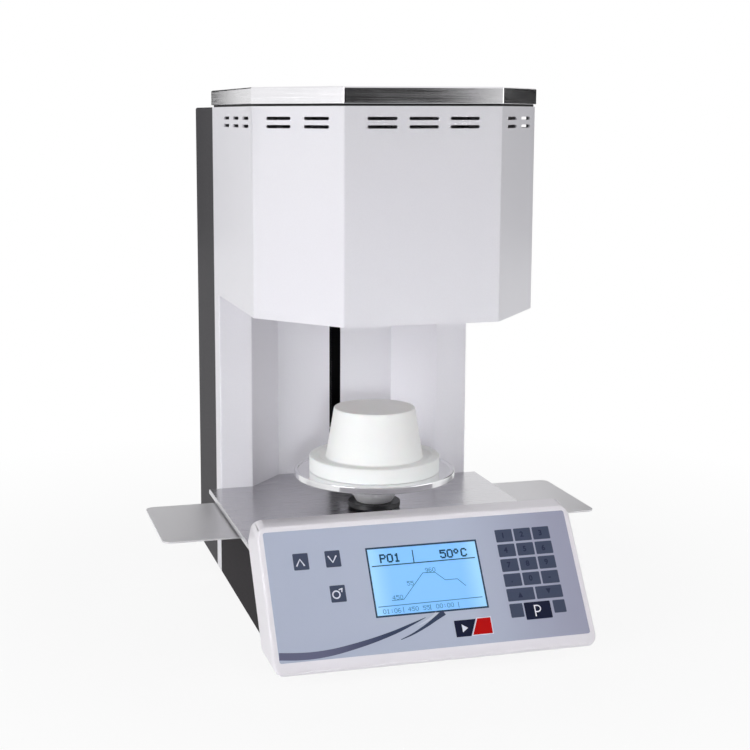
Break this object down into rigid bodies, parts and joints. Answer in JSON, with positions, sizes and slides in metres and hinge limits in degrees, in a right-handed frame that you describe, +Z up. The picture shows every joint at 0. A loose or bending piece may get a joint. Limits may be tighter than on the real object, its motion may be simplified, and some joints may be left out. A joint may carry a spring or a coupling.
{
  "type": "dental lab furnace",
  "caption": "Vacuum porcelain furnace: an eight-sided heating head on a folded column, a lift with a ceramic firing table, a dark base with slide-in shelves, and a tilted control panel.",
  "frame": {"origin": "on the bench, under the middle of the whole furnace with its shelves out", "axes": "+X to the right seen from the panel, +Y to the back, +Z up"},
  "size_m": [0.42, 0.441, 0.489],
  "materials": {
    "white_paint": "fine textured powder coat",
    "dark_paint": "dark grey textured powder coat",
    "black_paint": "satin black",
    "stainless": "brushed",
    "polished_steel": "polished",
    "screw_steel": "ground",
    "galvanised": "zinc plated",
    "aluminium": "milled",
    "brass": "turned",
    "bronze": "sintered",
    "rubber": "matte",
    "silicone": "satin red-brown",
    "ceramic": "matte white ceramic",
    "fibre": "pressed ceramic fibre",
    "quartz": "milky quartz",
    "heater_wire": "oxidised resistance wire",
    "white_plastic": "smooth satin white lacquer",
    "keypad_foil": "satin metallic foil",
    "display_glass": "clear front of a blue display",
    "black_plastic": "moulded",
    "circuit_board": "solder mask",
    "transformer_wrap": "wrapped in polyester film"
  },
  "bodies": {
    "furnace": {"base_chassis": "dark_paint", "rear_housing": "dark_paint", "rear_panel": "dark_paint", "rear_panel_screws": "screw_steel", "rubber_feet": "rubber", "deck": "stainless", "shelf_rails": "galvanised", "column_front": "white_paint", "column_posts": "galvanised", "head_cover": "white_paint", "head_floor": "stainless", "head_brackets": "galvanised", "lid_gasket": "rubber", "lid": "stainless", "chamber_ring": "aluminium", "ring_seal": "silicone", "vacuum_can": "stainless", "insulation_lower": "fibre", "insulation_side": "fibre", "insulation_top": "fibre", "quartz_muffle": "quartz", "heater_winding": "heater_wire", "thermocouple": "ceramic", "heater_terminals": "brass", "vacuum_pipe": "silicone", "vacuum_valve": "brass", "vacuum_port": "brass", "drive_bracket": "aluminium", "top_bearing_block": "aluminium", "lift_motor": "black_paint", "guide_rods": "screw_steel", "limit_switches": "black_plastic", "panel_housing": "white_plastic", "panel_overlay": "keypad_foil", "display_window": "display_glass", "display_module": "black_plastic", "control_board": "circuit_board", "panel_back_sheet": "galvanised", "transformer": "transformer_wrap", "power_board": "circuit_board", "mains_inlet": "black_plastic", "pump_outlet": "black_plastic", "fuse_holder": "black_plastic", "mains_switch": "black_plastic", "fan_frame": "black_plastic", "fan_guard": "screw_steel"},
    "lift": {"lift_plate": "polished_steel", "firing_table": "ceramic", "lift_hub": "polished_steel", "lift_arm": "black_paint", "lift_carriage": "aluminium", "carriage_bushes": "bronze", "lead_nut": "bronze"},
    "screw": {"lead_screw": "screw_steel", "shaft_coupling": "aluminium", "motor_shaft": "screw_steel"},
    "left_shelf": {"shelf_left": "stainless"},
    "right_shelf": {"shelf_right": "stainless"},
    "rocker": {"switch_rocker": "black_plastic"},
    "fan": {"fan_rotor": "black_plastic"}
  },
  "joints": [
    {"name": "lift_slide", "type": "slide", "parent": "furnace", "child": "lift", "axis": [0, 0, 1], "range_m": [0, 0.1587]},
    {"name": "screw_spin", "type": "hinge", "parent": "furnace", "child": "screw", "pos_m": [0, 0.153, 0.07], "axis": [0, 0, 1], "range_deg": [-7150, 0]},
    {"name": "left_shelf_slide", "type": "slide", "parent": "furnace", "child": "left_shelf", "axis": [1, 0, 0], "range_m": [0, 0.06]},
    {"name": "right_shelf_slide", "type": "slide", "parent": "furnace", "child": "right_shelf", "axis": [-1, 0, 0], "range_m": [0, 0.06]},
    {"name": "rocker_tilt", "type": "hinge", "parent": "furnace", "child": "rocker", "pos_m": [-0.092, 0.196, 0.084], "axis": [0, 0, 1], "range_deg": [0, 20]},
    {"name": "fan_spin", "type": "hinge", "parent": "furnace", "child": "fan", "pos_m": [0.08, 0.1785, 0.066], "axis": [0, 1, 0], "continuous": true}
  ],
  "couplings": [
    {"joint": "screw_spin", "follows": "lift_slide", "rad_per_m": -785.4}
  ]
}
